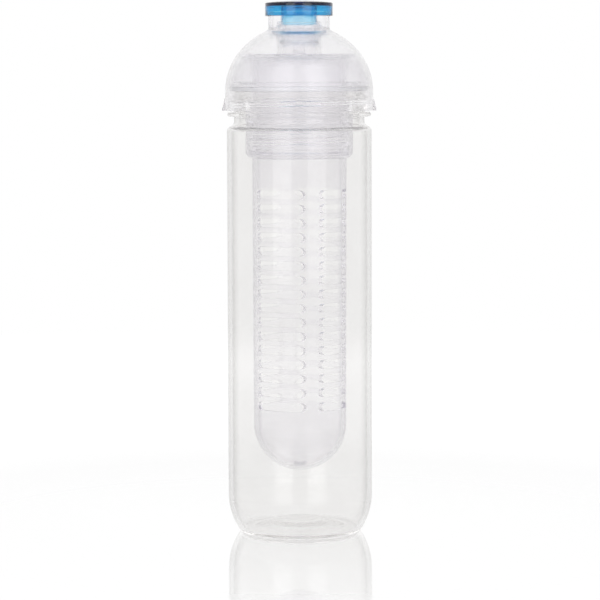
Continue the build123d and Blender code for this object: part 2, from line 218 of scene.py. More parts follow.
# Materials
# Object coordinates are in metres, so a noise scale of 60 gives patches about 17 mm across.
# tint and cloud mix in soft patches, edge is painted shade that darkens an upright wall where it is
# seen edge-on, and straight colours the light that goes straight through. density is the share of light,
# per metre, that the part missing from the absorbed colour takes up.
plastics = {
    "bottlePlastic": {
        "straight": (0.985, 0.984, 0.982),
        "tint": (0.932, 0.929, 0.925), "cloud": (0.918, 0.914, 0.909), "edge": (0.18, 0.17, 0.16),
        "absorbed": (0.50, 0.46, 0.44), "density": 6.0, "roughness": (0.04, 0.08),
        "ripple": 0.02, "rippleScale": 35, "cloudScale": 60, "grainScale": 900, "ior": 1.40,
    },
    "lidPlastic": {
        "straight": (0.985, 0.983, 0.986),
        "tint": (0.974, 0.971, 0.976), "cloud": (0.962, 0.958, 0.965), "edge": (0.58, 0.56, 0.58),
        "absorbed": (0.50, 0.45, 0.47), "density": 5.0, "roughness": (0.12, 0.20),
        "ripple": 0.01, "rippleScale": 60, "cloudScale": 90, "grainScale": 900, "ior": 1.33,
    },
    "insertPlastic": {
        "straight": (0.992, 0.991, 0.994),
        "tint": (0.966, 0.962, 0.970), "cloud": (0.952, 0.948, 0.958), "edge": (0.86, 0.84, 0.88),
        "absorbed": (0.48, 0.44, 0.54), "density": 3.0, "roughness": (0.15, 0.22),
        "ripple": 0.008, "rippleScale": 60, "cloudScale": 90, "grainScale": 900, "ior": 1.24,
    },
    "stemPlastic": {
        "straight": (0.995, 0.995, 0.997),
        "tint": (0.995, 0.995, 0.998), "cloud": (0.985, 0.984, 0.989), "edge": (0.94, 0.94, 0.96),
        "absorbed": (0.60, 0.58, 0.66), "density": 1.0, "roughness": (0.10, 0.16),
        "ripple": 0.008, "rippleScale": 90, "cloudScale": 120, "grainScale": 900, "ior": 1.20,
    },
    "infuserPlastic": {
        "straight": (0.992, 0.991, 0.994),
        "tint": (0.974, 0.970, 0.979), "cloud": (0.961, 0.956, 0.968), "edge": (0.40, 0.38, 0.45),
        "absorbed": (0.46, 0.43, 0.54), "density": 9.0, "roughness": (0.08, 0.14),
        "ripple": 0.01, "rippleScale": 55, "cloudScale": 80, "grainScale": 900, "ior": 1.34,
    },
}
edgeShadeFrom = 0.55      # facing value at which the painted edge shade sets in
uprightFrom, uprightTo = 0.2, 0.6  # how much of the normal is vertical, from fully upright to not at all
straightAfter = 14   # bounces, after which light goes straight through
waveStretch = (1, 1, 0.35)  # the waves in a wall are longer along its height
waveHeight = 0.001
speckHeight = 0.00005
waveDetail, grainDetail, cloudDetail, speckDetail = 1.5, 3, 2, 4
patchFrom, patchTo = 0.35, 0.65  # the part of the noise that is spread over its range
capPlastic = {
    "surface": (0.93, 0.97, 1.0), "absorbed": (0.06, 0.76, 0.91), "density": 1600.0,
    "roughness": (0.04, 0.10), "ripple": 0.03, "rippleScale": 120, "grainScale": 2500, "ior": 1.45,
}
silicone = {
    "colour": (0.94, 0.94, 0.95), "darker": (0.88, 0.88, 0.90), "roughness": 0.42,
    "speckScale": 1500, "speckBump": 0.2, "through": 0.85,
}


def newMaterial(name):
    material = bpy.data.materials.new(name)
    material.use_nodes = True
    tree = material.node_tree
    tree.nodes.clear()
    return material, tree.nodes, tree.links


def patterned(nodes, links, scale, detail, stretch=(1, 1, 1)):
    # noise on object coordinates
    spot = nodes.new("ShaderNodeTexCoord")
    mapping = nodes.new("ShaderNodeMapping")
    mapping.inputs["Scale"].default_value = stretch
    noise = nodes.new("ShaderNodeTexNoise")
    noise.inputs["Scale"].default_value = scale
    noise.inputs["Detail"].default_value = detail
    links.new(spot.outputs["Object"], mapping.inputs["Vector"])
    links.new(mapping.outputs["Vector"], noise.inputs["Vector"])
    return noise.outputs["Fac"]


def ranged(nodes, links, value, low, high, fromLow=patchFrom, fromHigh=patchTo):
    spread = nodes.new("ShaderNodeMapRange")
    spread.inputs["From Min"].default_value = fromLow
    spread.inputs["From Max"].default_value = fromHigh
    spread.inputs["To Min"].default_value = low
    spread.inputs["To Max"].default_value = high
    links.new(value, spread.inputs["Value"])
    return spread.outputs["Result"]


def maths(nodes, links, operation, *values):
    # a Math node; each value is a number or a socket
    step = nodes.new("ShaderNodeMath")
    step.operation = operation
    for number, value in enumerate(values):
        if isinstance(value, bpy.types.NodeSocket):
            links.new(value, step.inputs[number])
        else:
            step.inputs[number].default_value = value
    return step.outputs["Value"]


def mixed(nodes, links, factor, first, second):
    # a colour mix; the first is a colour or a socket, the second a colour
    mix = nodes.new("ShaderNodeMix")
    mix.data_type = "RGBA"
    links.new(factor, mix.inputs["Factor"])
    if isinstance(first, bpy.types.NodeSocket):
        links.new(first, mix.inputs["A"])
    else:
        mix.inputs["A"].default_value = (*first, 1)
    mix.inputs["B"].default_value = (*second, 1)
    return mix.outputs["Result"]


def bumped(nodes, links, bsdf, height, strength, distance):
    bump = nodes.new("ShaderNodeBump")
    bump.inputs["Strength"].default_value = strength
    bump.inputs["Distance"].default_value = distance
    links.new(height, bump.inputs["Height"])
    links.new(bump.outputs["Normal"], bsdf.inputs["Normal"])


def letLampsThrough(nodes, links, shader, colour):
    # lamps shine straight through, and so does light that has crossed many walls already
    path = nodes.new("ShaderNodeLightPath")
    tired = maths(nodes, links, "GREATER_THAN", path.outputs["Ray Depth"], straightAfter)
    straight = maths(nodes, links, "MAXIMUM", path.outputs["Is Shadow Ray"], tired)
    clear = nodes.new("ShaderNodeBsdfTransparent")
    clear.inputs["Color"].default_value = (*colour, 1)
    mix = nodes.new("ShaderNodeMixShader")
    links.new(straight, mix.inputs["Fac"])
    links.new(shader, mix.inputs[1])
    links.new(clear.outputs["BSDF"], mix.inputs[2])
    return mix.outputs["Shader"]


def moulded(nodes, links, values):
    # a moulded surface: slow waves in the wall and a fine grain in the gloss
    bsdf = nodes.new("ShaderNodeBsdfPrincipled")
    bsdf.inputs["IOR"].default_value = values["ior"]
    bsdf.inputs["Transmission Weight"].default_value = 1.0
    waves = patterned(nodes, links, values["rippleScale"], waveDetail, waveStretch)
    bumped(nodes, links, bsdf, waves, values["ripple"], waveHeight)
    grain = patterned(nodes, links, values["grainScale"], grainDetail)
    links.new(ranged(nodes, links, grain, *values["roughness"]), bsdf.inputs["Roughness"])
    return bsdf


def clearPlastic(name, values):
    material, nodes, links = newMaterial(name)
    bsdf = moulded(nodes, links, values)
    cloud = patterned(nodes, links, values["cloudScale"], cloudDetail)
    patches = mixed(nodes, links, ranged(nodes, links, cloud, 0, 1), values["tint"], values["cloud"])
    # painted shade: an upright wall seen edge-on is made darker in its colour
    weight = nodes.new("ShaderNodeLayerWeight")
    edgeShade = ranged(nodes, links, weight.outputs["Facing"], 0, 1, edgeShadeFrom, 1.0)
    rim = mixed(nodes, links, uprightShare(nodes, links, edgeShade), patches, values["edge"])
    links.new(rim, bsdf.inputs["Base Color"])
    finishClear(nodes, links, bsdf, values, values["straight"])
    return material


def uprightShare(nodes, links, amount):
    # the amount times how upright the surface is, so that the painted edge shade stays on upright walls
    surface = nodes.new("ShaderNodeNewGeometry")
    parts = nodes.new("ShaderNodeSeparateXYZ")
    links.new(surface.outputs["Normal"], parts.inputs["Vector"])
    level = maths(nodes, links, "ABSOLUTE", parts.outputs["Z"])
    upright = ranged(nodes, links, level, 1, 0, uprightFrom, uprightTo)
    return maths(nodes, links, "MULTIPLY", upright, amount)


def tintedPlastic(name, values):
    material, nodes, links = newMaterial(name)
    bsdf = moulded(nodes, links, values)
    bsdf.inputs["Base Color"].default_value = (*values["surface"], 1)
    finishClear(nodes, links, bsdf, values, values["absorbed"])
    return material


def finishClear(nodes, links, bsdf, values, shadowTint):
    inside = nodes.new("ShaderNodeVolumeAbsorption")
    inside.inputs["Color"].default_value = (*values["absorbed"], 1)
    inside.inputs["Density"].default_value = values["density"]
    output = nodes.new("ShaderNodeOutputMaterial")
    links.new(letLampsThrough(nodes, links, bsdf.outputs["BSDF"], shadowTint), output.inputs["Surface"])
    links.new(inside.outputs["Volume"], output.inputs["Volume"])


def softSilicone(name, values):
    material, nodes, links = newMaterial(name)
    bsdf = nodes.new("ShaderNodeBsdfPrincipled")
    specks = patterned(nodes, links, values["speckScale"], speckDetail)
    speckled = mixed(nodes, links, ranged(nodes, links, specks, 0, 1), values["colour"], values["darker"])
    links.new(speckled, bsdf.inputs["Base Color"])
    bsdf.inputs["Roughness"].default_value = values["roughness"]
    bsdf.inputs["Transmission Weight"].default_value = values["through"]
    bumped(nodes, links, bsdf, specks, values["speckBump"], speckHeight)
    output = nodes.new("ShaderNodeOutputMaterial")
    links.new(bsdf.outputs["BSDF"], output.inputs["Surface"])
    return material


materials = {name: clearPlastic(name, values) for name, values in plastics.items()}
materials["capPlastic"] = tintedPlastic("capPlastic", capPlastic)
materials["sealSilicone"] = softSilicone("sealSilicone", silicone)


def place(piece, node, body, material):
    piece.data.materials.clear()
    piece.data.materials.append(materials[material])
    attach(piece, body)
    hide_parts(node)
    print("made", piece.name, len(piece.data.polygons), "faces")


# Bottle body
bottle = {
    "wall": 2.0, "heelHeight": 17.0, "heelRadius": 30.0, "cornerRadius": 3.0,
    "puntRing": 19.5, "puntFlat": 12.2, "puntHeight": 3.0,
    "shoulderHeight": 180.6, "shoulderRound": 2.6, "neckRootRound": 2.3,
    "neckRadius": 29.3, "neckWall": 2.2, "ringRadius": 32.2, "ringBottom": 187.2, "ringThickness": 1.9,
    "puntRound": 1.6, "standRound": 2.0, "innerPuntRound": 1.2, "innerStandRound": 2.4,
    "ringRootRound": 0.5, "ringRound": 0.6, "ringTopRound": 0.4, "rimRound": 0.5,
}
neckThread = {
    "root": 29.3, "depth": 1.6, "rootWidth": 1.9, "tipWidth": 0.9, "round": 0.3, "sink": 0.5,
    "pitch": 4.0, "turns": 1.25, "start": 191.9, "turned": 0,
}


def buildBottle():
    radius, rim = nodeRadius("bottle_body"), nodeTop("bottle_body")
    wall, corner = bottle["wall"], bottle["cornerRadius"]
    heelHeight, heelRadius = bottle["heelHeight"], bottle["heelRadius"]
    heelAngle = math.degrees(math.asin((heelHeight - corner) / (heelRadius - corner)))
    heelCentre = (radius - heelRadius, heelHeight)
    standRadius = heelCentre[0] + (heelRadius - corner) * math.cos(math.radians(heelAngle))
    shoulder, rounds = bottle["shoulderHeight"], bottle["shoulderRound"] + bottle["neckRootRound"]
    shoulderCentre = (radius - bottle["shoulderRound"], shoulder)
    neck, bore = bottle["neckRadius"], bottle["neckRadius"] - bottle["neckWall"]
    outerAngle = math.degrees(math.acos(1 - (radius - neck) / rounds))
    innerAngle = math.degrees(math.acos(1 - (radius - wall - bore) / rounds))
    neckFoot = shoulder + rounds * math.sin(math.radians(outerAngle))
    boreFoot = shoulder + rounds * math.sin(math.radians(innerAngle))
    ringBottom = bottle["ringBottom"]
    ringTop = ringBottom + bottle["ringThickness"]
    puntTop = bottle["puntHeight"] + wall

    pen = Pen(0, bottle["puntHeight"])
    pen.line((bottle["puntFlat"], bottle["puntHeight"]), (bottle["puntRing"], 0), (standRadius, 0))
    pen.arc((standRadius, corner), 90 - heelAngle).arc(heelCentre, heelAngle)
    pen.line((radius, shoulder)).arc(shoulderCentre, outerAngle)
    pen.arc((neck + bottle["neckRootRound"], neckFoot), -outerAngle)
    pen.line((neck, ringBottom), (bottle["ringRadius"], ringBottom), (bottle["ringRadius"], ringTop))
    pen.line((neck, ringTop), (neck, rim), (bore, rim), (bore, boreFoot))
    pen.arc((bore + bottle["neckRootRound"] + wall, boreFoot), innerAngle)
    pen.arc(shoulderCentre, -innerAngle)
    pen.line((radius - wall, heelHeight)).arc(heelCentre, -heelAngle)
    pen.arc((standRadius, corner), heelAngle - 90)
    pen.line((bottle["puntRing"], wall), (bottle["puntFlat"], puntTop), (0, puntTop)).close()
    pen.round(
        (bottle["puntFlat"], bottle["puntHeight"], bottle["puntRound"]),
        (bottle["puntRing"], 0, bottle["standRound"]),
        (bottle["puntFlat"], puntTop, bottle["innerPuntRound"]),
        (bottle["puntRing"], wall, bottle["innerStandRound"]),
        (neck, ringBottom, bottle["ringRootRound"]),
        (bottle["ringRadius"], ringBottom, bottle["ringRound"]),
        (bottle["ringRadius"], ringTop, bottle["ringRound"]),
        (neck, ringTop, bottle["ringTopRound"]),
        (neck, rim, bottle["rimRound"]), (bore, rim, bottle["rimRound"]),
    )
    body = pen.turn("bottleBody")
    combine(body, threadRidge("neckThread", neckThread), "UNION")
    place(body, "bottle_body", "bottle", "bottlePlastic")


buildBottle()

# Neck seal
neckSeal = {"inner": 27.3, "round": 0.5}


def buildNeckSeal():
    low, high = nodeBottom("neck_seal"), nodeTop("neck_seal")
    outer, inner = nodeRadius("neck_seal"), neckSeal["inner"]
    pen = Pen(inner, low).line((outer, low), (outer, high), (inner, high)).close()
    pen.round(*((r, z, neckSeal["round"]) for r in (inner, outer) for z in (low, high)))
    place(pen.turn("neckSeal"), "neck_seal", "seal_ring", "sealSilicone")


buildNeckSeal()

# Domed lid
dome = {
    "radius": 33.1, "rise": 29.6, "wall": 1.8, "level": 198.9, "skirtRadius": 33.3, "skirtWall": 1.9,
    "collarRadius": 13.7, "collarWall": 1.4, "guideRadius": 9.9, "guideBore": 9.0, "lipRadius": 8.3,
    "lipThickness": 1.2, "guideTop": 228.9, "coneDrop": 3.7, "seatRadius": 7.7, "seatTop": 218.2,
    "plateTop": 214.6, "collarRound": 0.5, "collarRootRound": 1.2, "skirtRound": 0.4, "coneRound": 0.5,
    "coneUnderRound": 1.9, "lipRound": 0.35, "lipRootRound": 0.3,
}
lidThread = {
    "root": 31.4, "depth": -1.6, "rootWidth": 1.9, "tipWidth": 0.9, "round": 0.3, "sink": 0.5,
    "pitch": 4.0, "turns": 1.0, "start": 191.9, "turned": 180,
}
lug = {
    "count": 8, "width": 6.8, "faceWidth": 2.6, "height": 6.6, "reach": 1.4, "rooted": 1.0,
    "sideSunk": 0.2, "topSunk": 0.1, "round": 0.35, "roundSteps": 2,
}


def onOval(radius, inset):
    share = radius / (dome["radius"] - inset)
    return dome["level"] + (dome["rise"] - inset) * math.sqrt(1 - share**2)


def ovalAngle(radius, inset):
    return math.degrees(math.acos(radius / (dome["radius"] - inset)))


def gripLugs():
    # a flared three-sided grip, copied round the skirt
    low = nodeBottom("lid_dome")
    bm = bmesh.new()
    back = dome["skirtRadius"] - lug["rooted"]
    front = dome["skirtRadius"] + lug["reach"]
    half, face = lug["width"] / 2, lug["faceWidth"] / 2
    side, tip = dome["skirtRadius"] - lug["sideSunk"], dome["skirtRadius"] - lug["topSunk"]
    spots = (
        (back, half, 0), (back, -half, 0), (side, half, 0), (side, -half, 0),
        (front, face, 0), (front, -face, 0), (back, 0, lug["height"]), (tip, 0, lug["height"]),
    )
    for x, y, z in spots:
        bm.verts.new((x * mm, y * mm, (low + z) * mm))
    bmesh.ops.convex_hull(bm, input=bm.verts[:])
    bmesh.ops.dissolve_limit(bm, angle_limit=math.radians(flatAngle), verts=bm.verts, edges=bm.edges)
    bmesh.ops.bevel(
        bm, geom=bm.edges[:], affect="EDGES", offset=lug["round"] * mm, segments=lug["roundSteps"],
        profile=0.5, material=-1, clamp_overlap=True,
    )
    one = bm.verts[:] + bm.edges[:] + bm.faces[:]
    for number in range(1, lug["count"]):
        turnAbout(bm, copyOf(bm, one), math.tau * number / lug["count"])
    return finishMesh(bm, "gripLugs")


def buildDome():
    top, low = nodeTop("lid_dome"), nodeBottom("lid_dome")
    collar, collarBore = dome["collarRadius"], dome["collarRadius"] - dome["collarWall"]
    bore, skirt = dome["skirtRadius"] - dome["skirtWall"], dome["skirtRadius"]
    level, wall = dome["level"], dome["wall"]
    coneTop = dome["guideTop"] - dome["lipThickness"]
    coneFoot = coneTop - dome["coneDrop"]
    guide, guideBore = dome["guideRadius"], dome["guideBore"]

    pen = Pen(collarBore, top)
    pen.line((collar, top))
    pen.oval((0, level), dome["radius"], dome["rise"], ovalAngle(collar, 0), 0)
    pen.line((skirt, low), (bore, low), (bore, level))
    pen.oval((0, level), dome["radius"] - wall, dome["rise"] - wall, 0, ovalAngle(collar, wall))
    pen.line((collarBore, coneFoot - wall), (guide, coneTop - wall), (guide, dome["plateTop"]))
    pen.line((dome["seatRadius"], dome["plateTop"]), (dome["seatRadius"], dome["seatTop"]))
    pen.line((guideBore, dome["seatTop"]), (guideBore, coneTop), (dome["lipRadius"], coneTop))
    pen.line((dome["lipRadius"], dome["guideTop"]), (guide, dome["guideTop"]), (guide, coneTop))
    pen.line((collarBore, coneFoot)).close()
    pen.round(
        (collarBore, top, dome["collarRound"]), (collar, top, dome["collarRound"]),
        (collar, onOval(collar, 0), dome["collarRootRound"]),
        (skirt, low, dome["skirtRound"]), (bore, low, dome["skirtRound"]),
        (collarBore, coneFoot, dome["coneRound"]),
        (collarBore, coneFoot - wall, dome["coneUnderRound"]),
        (guide, coneTop - wall, dome["coneUnderRound"]),
        (dome["lipRadius"], dome["guideTop"], dome["lipRound"]), (guide, dome["guideTop"], dome["lipRound"]),
        (guide, coneTop, dome["lipRootRound"]), (dome["lipRadius"], coneTop, dome["lipRootRound"]),
    )
    lid = pen.turn("lidDome")
    combine(lid, gripLugs(), "UNION")
    combine(lid, threadRidge("lidThread", lidThread), "UNION")
    place(lid, "lid_dome", "lid", "lidPlastic")


buildDome()

# Insert under the dome
insert = {
    "gap": 0.3, "linerWall": 1.5, "plateTop": 214.6, "plateThickness": 2.0, "flangeBottom": 200.5,
    "flangeTop": 202.5, "flangeBore": 27.3, "spigotRadius": 21.3, "spigotWall": 2.0,
    "pinRadius": 2.4, "pinRoot": 3.2, "pinRootHeight": 5.0, "pinRound": 0.8, "pinRootRound": 0.8,
    "rimRound": 0.5, "spigotRound": 0.5, "flangeRound": 0.4,
    "holeCount": 6, "holeRadius": 1.1, "holeRing": 4.9, "holeDepth": 6.0,
}
spigotThread = {
    "root": 21.3, "depth": 1.1, "rootWidth": 2.0, "tipWidth": 1.0, "round": 0.25, "sink": 0.5,
    "pitch": 4.5, "turns": 2.5, "start": 175.1, "turned": 0,
}


def flowHoles():
    # cutters that pass right through the plate, from its middle
    bm = bmesh.new()
    ring, radius = insert["holeRing"], insert["holeRadius"] * mm
    middle = insert["plateTop"] - insert["plateThickness"] / 2
    for number in range(insert["holeCount"]):
        angle = math.tau * number / insert["holeCount"]
        spot = Vector((ring * math.cos(angle), ring * math.sin(angle), middle))
        bmesh.ops.create_cone(
            bm, cap_ends=True, segments=ringSteps, radius1=radius, radius2=radius,
            depth=insert["holeDepth"] * mm, matrix=Matrix.Translation(spot * mm),
        )
    return finishMesh(bm, "flowHoles")


def buildInsert():
    top, low = nodeTop("lid_insert"), nodeBottom("lid_insert")
    outer = dome["wall"] + insert["gap"]
    inner = outer + insert["linerWall"]
    plateTop = insert["plateTop"]
    plateBottom = plateTop - insert["plateThickness"]
    spigot, bore = insert["spigotRadius"], insert["spigotRadius"] - insert["spigotWall"]

    def angleAt(height, inset):
        return math.degrees(math.asin((height - dome["level"]) / (dome["rise"] - inset)))

    pen = Pen(0, plateBottom)
    pen.line((bore, plateBottom), (bore, low), (spigot, low), (spigot, plateBottom))
    pen.oval(
        (0, dome["level"]), dome["radius"] - inner, dome["rise"] - inner,
        angleAt(plateBottom, inner), angleAt(insert["flangeTop"], inner),
    )
    pen.line((insert["flangeBore"], insert["flangeTop"]), (insert["flangeBore"], insert["flangeBottom"]))
    pen.oval(
        (0, dome["level"]), dome["radius"] - outer, dome["rise"] - outer,
        angleAt(insert["flangeBottom"], outer), angleAt(plateTop, outer),
    )
    pen.line((insert["pinRoot"], plateTop), (insert["pinRadius"], plateTop + insert["pinRootHeight"]))
    pen.line((insert["pinRadius"], top), (0, top)).close()
    rim = (dome["radius"] - outer) * math.cos(math.radians(angleAt(plateTop, outer)))
    pen.round(
        (insert["pinRadius"], top, insert["pinRound"]),
        (insert["pinRoot"], plateTop, insert["pinRootRound"]), (rim, plateTop, insert["rimRound"]),
        (spigot, low, insert["spigotRound"]), (bore, low, insert["spigotRound"]),
        (spigot, plateBottom, insert["spigotRound"]), (bore, plateBottom, insert["spigotRound"]),
        (insert["flangeBore"], insert["flangeTop"], insert["flangeRound"]),
        (insert["flangeBore"], insert["flangeBottom"], insert["flangeRound"]),
    )
    piece = pen.turn("lidInsert")
    combine(piece, flowHoles(), "DIFFERENCE")
    combine(piece, threadRidge("spigotThread", spigotThread), "UNION")
    place(piece, "lid_insert", "lid", "insertPlastic")


buildInsert()

# Push-pull cap
cap = {
    "wall": 1.1, "crownEdge": 1.4, "crown": 2.5, "skirt": 5.9, "round": 0.45, "outlet": 2.6,
    "sleeveRadius": 8.0, "sleeveWall": 0.22, "sleeveLength": 9.3, "crownArcs": 8,
    "innerRound": 0.3, "sleeveRootRound": 0.4, "sleeveRound": 0.09, "sleeveBoreRound": 0.2,
    "outletUnderRound": 0.25, "outletRound": 0.35,
}


def buildCap():
    top, radius = nodeTop("pull_cap"), nodeRadius("pull_cap")
    underside = top - cap["crown"]
    edge = underside + cap["crownEdge"]
    skirtLow, bore = edge - cap["skirt"], radius - cap["wall"]
    crownRadius = (radius**2 + (top - edge) ** 2) / (2 * (top - edge))
    centre = (0, top - crownRadius)
    outletAngle = math.degrees(math.asin(cap["outlet"] / crownRadius))
    rimAngle = math.degrees(math.asin(radius / crownRadius))
    outletTop = centre[1] + crownRadius * math.cos(math.radians(outletAngle))
    sleeve, sleeveBore = cap["sleeveRadius"], cap["sleeveRadius"] - cap["sleeveWall"]
    sleeveLow = underside - cap["sleeveLength"]

    pen = Pen(cap["outlet"], outletTop)
    for _ in range(cap["crownArcs"]):
        pen.arc(centre, (outletAngle - rimAngle) / cap["crownArcs"])
    pen.line((radius, skirtLow), (bore, skirtLow), (bore, underside), (sleeve, underside))
    pen.line((sleeve, sleeveLow), (sleeveBore, sleeveLow), (sleeveBore, underside))
    pen.line((cap["outlet"], underside)).close()
    pen.round(
        (radius, edge, cap["round"]), (radius, skirtLow, cap["round"]),
        (bore, skirtLow, cap["innerRound"]), (bore, underside, cap["innerRound"]),
        (sleeve, underside, cap["sleeveRootRound"]), (sleeve, sleeveLow, cap["sleeveRound"]),
        (sleeveBore, sleeveLow, cap["sleeveRound"]), (sleeveBore, underside, cap["sleeveBoreRound"]),
        (cap["outlet"], underside, cap["outletUnderRound"]), (cap["outlet"], outletTop, cap["outletRound"]),
    )
    place(pen.turn("pullCap"), "pull_cap", "spout", "capPlastic")


buildCap()

# Valve stem in the cap's sleeve
stem = {
    "bore": 6.6, "plug": 7.35, "plugLength": 9.3, "radius": 8.0, "groove": 7.5, "lip": 1.1, "ring": 1.3,
    "footRound": 0.3, "beadRound": 0.4, "grooveRound": 0.2, "beadRootRound": 0.3, "stepRound": 0.15,
    "plugRound": 0.3, "boreRound": 0.2,
}


def buildStem():
    top, low, bead = nodeTop("valve_stem"), nodeBottom("valve_stem"), nodeRadius("valve_stem")
    grooveLow, grooveTop = low + stem["lip"], low + stem["lip"] + stem["ring"]
    beadTop, step = grooveTop + stem["lip"], top - stem["plugLength"]
    pen = Pen(stem["bore"], low)
    pen.line((bead, low), (bead, grooveLow), (stem["groove"], grooveLow), (stem["groove"], grooveTop))
    pen.line((bead, grooveTop), (bead, beadTop), (stem["radius"], beadTop), (stem["radius"], step))
    pen.line((stem["plug"], step), (stem["plug"], top), (stem["bore"], top)).close()
    pen.round(
        (stem["bore"], low, stem["footRound"]), (bead, low, stem["beadRound"]),
        (bead, grooveLow, stem["grooveRound"]), (bead, grooveTop, stem["grooveRound"]),
        (bead, beadTop, stem["beadRound"]), (stem["radius"], beadTop, stem["beadRootRound"]),
        (stem["radius"], step, stem["stepRound"]), (stem["plug"], top, stem["plugRound"]),
        (stem["bore"], top, stem["boreRound"]),
    )
    place(pen.turn("valveStem"), "valve_stem", "spout", "stemPlastic")


buildStem()

# O-ring on the stem
def buildStemSeal():
    low, high, outer = nodeBottom("stem_seal"), nodeTop("stem_seal"), nodeRadius("stem_seal")
    size = (high - low) / 2
    bm = bmesh.new()
    bmesh.ops.create_circle(
        bm, cap_ends=False, segments=ringSteps, radius=size * mm,
        matrix=Matrix.Translation(at(outer - size, low + size)) @ Matrix.Rotation(math.pi / 2, 4, "X"),
    )
    place(turnedMesh(bm, "stemSeal"), "stem_seal", "spout", "sealSilicone")


buildStemSeal()

# Infuser collar
nut = {
    "wall": 1.4, "lip": 1.6, "chamfer": 1.8, "passage": 21.45, "footRound": 0.5, "chamferRound": 0.7,
    "rimRound": 0.5, "boreRound": 0.4, "lipRootRound": 0.3, "passageRound": 0.4, "lipRound": 0.3,
}
nutThread = {
    "root": 22.7, "depth": -1.1, "rootWidth": 2.0, "tipWidth": 1.0, "round": 0.25, "sink": 0.5,
    "pitch": 4.5, "turns": 2.0, "start": 175.1, "turned": 180,
}


def buildNut():
    top, low, radius = nodeTop("infuser_collar"), nodeBottom("infuser_collar"), nodeRadius("infuser_collar")
    bore, lipTop = radius - nut["wall"], low + nut["lip"]
    pen = Pen(nut["passage"], low)
    pen.line((radius - nut["chamfer"], low), (radius, low + nut["chamfer"]), (radius, top), (bore, top))
    pen.line((bore, lipTop), (nut["passage"], lipTop)).close()
    pen.round(
        (radius - nut["chamfer"], low, nut["footRound"]), (radius, low + nut["chamfer"], nut["chamferRound"]),
        (radius, top, nut["rimRound"]), (bore, top, nut["boreRound"]), (bore, lipTop, nut["lipRootRound"]),
        (nut["passage"], low, nut["passageRound"]), (nut["passage"], lipTop, nut["lipRound"]),
    )
    ring = pen.turn("infuserCollar")
    combine(ring, threadRidge("nutThread", nutThread), "UNION")
    place(ring, "infuser_collar", "collar", "infuserPlastic")


buildNut()

# Infuser tube
tube = {
    "wall": 1.8, "topRadius": 21.15, "footRadius": 20.8, "flangeBottom": 170.4,
    "gatePad": 2.9, "gatePadHeight": 2.0, "rows": 16, "columns": 4, "pitch": 6.3,
    "slotHeight": 4.0, "firstSlot": 58.3, "slotAngle": 66.0, "firstColumn": -119.0,
    "slotRoundShare": 0.999, "slotRoundSteps": 7, "cutterFrom": 8.0, "cutterLength": 20.0,
    "flangeRound": 0.3, "flangeTopRound": 0.4, "mouthRound": 0.5, "flangeRootRound": 0.3, "gatePadRound": 0.5,
}


def slotCutters():
    # one rounded bar that points along +X, then rows of it up the tube and columns round it
    bm = bmesh.new()
    half = tube["topRadius"] * math.sin(math.radians(tube["slotAngle"] / 2))
    tall = tube["slotHeight"] / 2
    corners = ((-half, -tall), (half, -tall), (half, tall), (-half, tall))
    verts = [bm.verts.new((tube["cutterFrom"] * mm, y * mm, z * mm)) for y, z in corners]
    bm.faces.new(verts)
    bmesh.ops.bevel(
        bm, geom=verts, affect="VERTICES", offset=tall * tube["slotRoundShare"] * mm,
        segments=tube["slotRoundSteps"], profile=0.5, material=-1,
    )
    walls = bmesh.ops.extrude_face_region(bm, geom=bm.faces[:])["geom"]
    far = [v for v in walls if isinstance(v, bmesh.types.BMVert)]
    bmesh.ops.translate(bm, verts=far, vec=(tube["cutterLength"] * mm, 0, 0))
    bmesh.ops.translate(bm, verts=bm.verts, vec=(0, 0, tube["firstSlot"] * mm))
    one = bm.verts[:] + bm.edges[:] + bm.faces[:]
    for row in range(1, tube["rows"]):
        bmesh.ops.translate(bm, verts=copyOf(bm, one), vec=(0, 0, tube["pitch"] * row * mm))
    one = bm.verts[:] + bm.edges[:] + bm.faces[:]
    for column in range(1, tube["columns"]):
        turnAbout(bm, copyOf(bm, one), math.tau * column / tube["columns"])
    turnAbout(bm, bm.verts, math.radians(tube["firstColumn"]))
    return finishMesh(bm, "slotCutters")


def buildTube():
    top, low, flange = nodeTop("infuser_tube"), nodeBottom("infuser_tube"), nodeRadius("infuser_tube")
    wall, foot = tube["wall"], tube["footRadius"]
    centre = (0, low + foot)
    pen = Pen(0, low)
    pen.arc(centre, 90)
    pen.line((tube["topRadius"], tube["flangeBottom"]), (flange, tube["flangeBottom"]), (flange, top))
    pen.line((tube["topRadius"] - wall, top), (foot - wall, centre[1]))
    padAngle = math.degrees(math.asin(tube["gatePad"] / (foot - wall)))
    pen.arc(centre, padAngle - 90)
    padTop = low + wall + tube["gatePadHeight"]
    pen.line((tube["gatePad"], padTop), (0, padTop)).close()
    pen.round(
        (flange, tube["flangeBottom"], tube["flangeRound"]), (flange, top, tube["flangeTopRound"]),
        (tube["topRadius"] - wall, top, tube["mouthRound"]),
        (tube["topRadius"], tube["flangeBottom"], tube["flangeRootRound"]),
        (tube["gatePad"], padTop, tube["gatePadRound"]),
    )
    piece = pen.turn("infuserTube")
    combine(piece, slotCutters(), "DIFFERENCE")
    place(piece, "infuser_tube", "infuser", "infuserPlastic")


buildTube()

